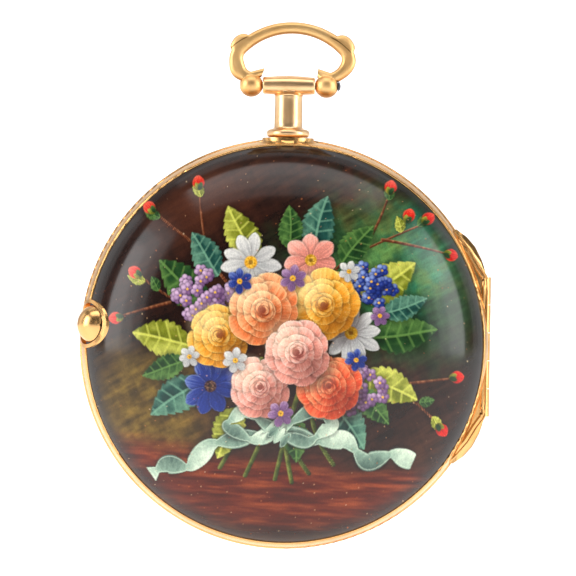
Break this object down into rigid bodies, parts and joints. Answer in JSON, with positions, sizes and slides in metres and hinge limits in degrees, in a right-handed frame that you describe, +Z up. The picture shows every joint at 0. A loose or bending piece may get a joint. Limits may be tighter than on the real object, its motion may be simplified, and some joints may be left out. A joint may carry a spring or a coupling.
{
  "type": "pair-cased verge watch",
  "caption": "Hanging pair-cased pocket watch: domed painted enamel back in a hinged gold case, inner case with glass and dial, and a fusee movement with verge escapement.",
  "frame": {"origin": "point at the inside of the bow's top where a hook bears; the watch hangs below it", "axes": "+Z upwards towards twelve, -Y out of the painted back, +Y out of the dial and glass, +X towards the case hinge"},
  "size_m": [0.0543, 0.0217, 0.0693],
  "materials": {
    "rose_gold": "polished yellow gold, softened by wear",
    "gilt_brass": "fire-gilt brass, softly matt",
    "wheel_brass": "polished brass",
    "painted_enamel": "painted enamel, fired to a high gloss",
    "dial_enamel": "white enamel, glossy",
    "steel": "polished steel",
    "dark_steel": "darkened steel with a soft shine",
    "blued_steel": "heat-blued steel",
    "silvered": "silvered brass, fine grained",
    "crystal": "clear polished glass",
    "jewel": "clear red stone, polished"
  },
  "bodies": {
    "bow_body": {"bow": "rose_gold", "bow_pin": "dark_steel"},
    "case": {"pendant": "rose_gold", "outer_back_shell": "rose_gold", "enamel_back": "painted_enamel", "button_collar": "rose_gold", "latch_spring": "steel", "outer_hinge_pin": "steel", "inner_case_bowl": "rose_gold", "inner_hinge_pin": "steel", "dial": "dial_enamel", "dial_edge": "gilt_brass", "movement_hinge": "gilt_brass", "movement_latch": "steel", "pillar_plate": "gilt_brass", "pillars": "gilt_brass", "top_plate": "gilt_brass", "pillar_pins": "steel", "chain_run": "steel", "mainspring": "blued_steel", "barrel_arbor": "steel", "ratchet": "steel", "stop_work": "steel", "balance_spring": "blued_steel", "balance_cock": "gilt_brass", "cock_end_piece": "jewel", "potence": "gilt_brass", "counter_potence": "gilt_brass", "regulator_disc": "silvered", "plate_screws": "blued_steel"},
    "outer_bezel_body": {"outer_bezel": "rose_gold"},
    "inner_bezel_body": {"inner_bezel": "rose_gold", "watch_glass": "crystal"},
    "button_body": {"push_button": "rose_gold"},
    "minute_body": {"minute_hand": "rose_gold", "cannon_pinion": "steel"},
    "hour_body": {"hour_hand": "rose_gold", "hour_wheel": "wheel_brass"},
    "minute_work_body": {"minute_wheel": "wheel_brass", "minute_pinion": "steel"},
    "centre_body": {"centre_wheel": "wheel_brass", "centre_pinion": "steel"},
    "third_body": {"third_wheel": "wheel_brass", "third_pinion": "steel"},
    "contrate_body": {"contrate_wheel": "wheel_brass", "contrate_pinion": "steel"},
    "escape_body": {"escape_wheel": "wheel_brass", "escape_pinion": "steel"},
    "fusee_body": {"fusee": "wheel_brass", "great_wheel": "wheel_brass", "fusee_arbor": "steel", "chain_on_fusee": "steel"},
    "barrel_body": {"mainspring_barrel": "wheel_brass", "barrel_cover": "wheel_brass", "chain_on_barrel": "steel"},
    "balance_body": {"verge_staff": "steel", "balance_wheel": "wheel_brass"}
  },
  "joints": [
    {"name": "bow_swing", "type": "hinge", "parent": "bow_body", "child": "case", "pos_m": [0, 0, -0.00683], "axis": [1, 0, 0], "range_deg": [-90, 90]},
    {"name": "outer_bezel_hinge", "type": "hinge", "parent": "case", "child": "outer_bezel_body", "pos_m": [0.0262, 0, -0.04078], "axis": [0, 0, -1], "range_deg": [0, 110]},
    {"name": "inner_bezel_hinge", "type": "hinge", "parent": "case", "child": "inner_bezel_body", "pos_m": [0.0236, 0.0018, -0.04078], "axis": [0, 0, -1], "range_deg": [0, 88]},
    {"name": "button_press", "type": "slide", "parent": "case", "child": "button_body", "axis": [0.9962, 0, -0.0872], "range_m": [0, 0.0003], "stiffness_N_per_m": 1500, "springref_m": -0.0005},
    {"name": "minute_turn", "type": "hinge", "parent": "case", "child": "minute_body", "pos_m": [0, 0.001, -0.04078], "axis": [0, -1, 0], "continuous": true},
    {"name": "minute_work_turn", "type": "hinge", "parent": "case", "child": "minute_work_body", "pos_m": [-0.00451, 0, -0.04242], "axis": [0, -1, 0], "continuous": true},
    {"name": "hour_turn", "type": "hinge", "parent": "case", "child": "hour_body", "pos_m": [0, 0.001, -0.04078], "axis": [0, -1, 0], "continuous": true},
    {"name": "contrate_turn", "type": "hinge", "parent": "case", "child": "contrate_body", "pos_m": [0.00762, -0.003, -0.03435], "axis": [0, -1, 0], "continuous": true},
    {"name": "third_turn", "type": "hinge", "parent": "case", "child": "third_body", "pos_m": [0.0065, -0.003, -0.03963], "axis": [0, -1, 0], "continuous": true},
    {"name": "centre_turn", "type": "hinge", "parent": "case", "child": "centre_body", "pos_m": [0, -0.003, -0.04078], "axis": [0, -1, 0], "continuous": true},
    {"name": "fusee_turn", "type": "hinge", "parent": "case", "child": "fusee_body", "pos_m": [0.0045, -0.003, -0.04857], "axis": [0, -1, 0], "continuous": true},
    {"name": "barrel_turn", "type": "hinge", "parent": "case", "child": "barrel_body", "pos_m": [-0.0095, -0.003, -0.04528], "axis": [0, -1, 0], "continuous": true},
    {"name": "escape_turn", "type": "hinge", "parent": "case", "child": "escape_body", "pos_m": [0, -0.00395, -0.03378], "axis": [0.9972, 0, -0.0748], "continuous": true},
    {"name": "balance_swing", "type": "hinge", "parent": "case", "child": "balance_body", "pos_m": [0, -0.007, -0.03378], "axis": [0, -1, 0], "range_deg": [-100, 100], "stiffness_Nm_per_rad": 0.000002}
  ],
  "couplings": [
    {"joint": "inner_bezel_hinge", "follows": "outer_bezel_hinge", "ratio": 0.8},
    {"joint": "minute_work_turn", "follows": "minute_turn", "ratio": -0.33333},
    {"joint": "hour_turn", "follows": "minute_turn", "ratio": 0.083333},
    {"joint": "escape_turn", "follows": "contrate_turn", "ratio": -8},
    {"joint": "third_turn", "follows": "contrate_turn", "ratio": -0.125},
    {"joint": "centre_turn", "follows": "contrate_turn", "ratio": 0.013889},
    {"joint": "fusee_turn", "follows": "contrate_turn", "ratio": -0.0034722},
    {"joint": "barrel_turn", "follows": "contrate_turn", "ratio": -0.0020833}
  ]
}
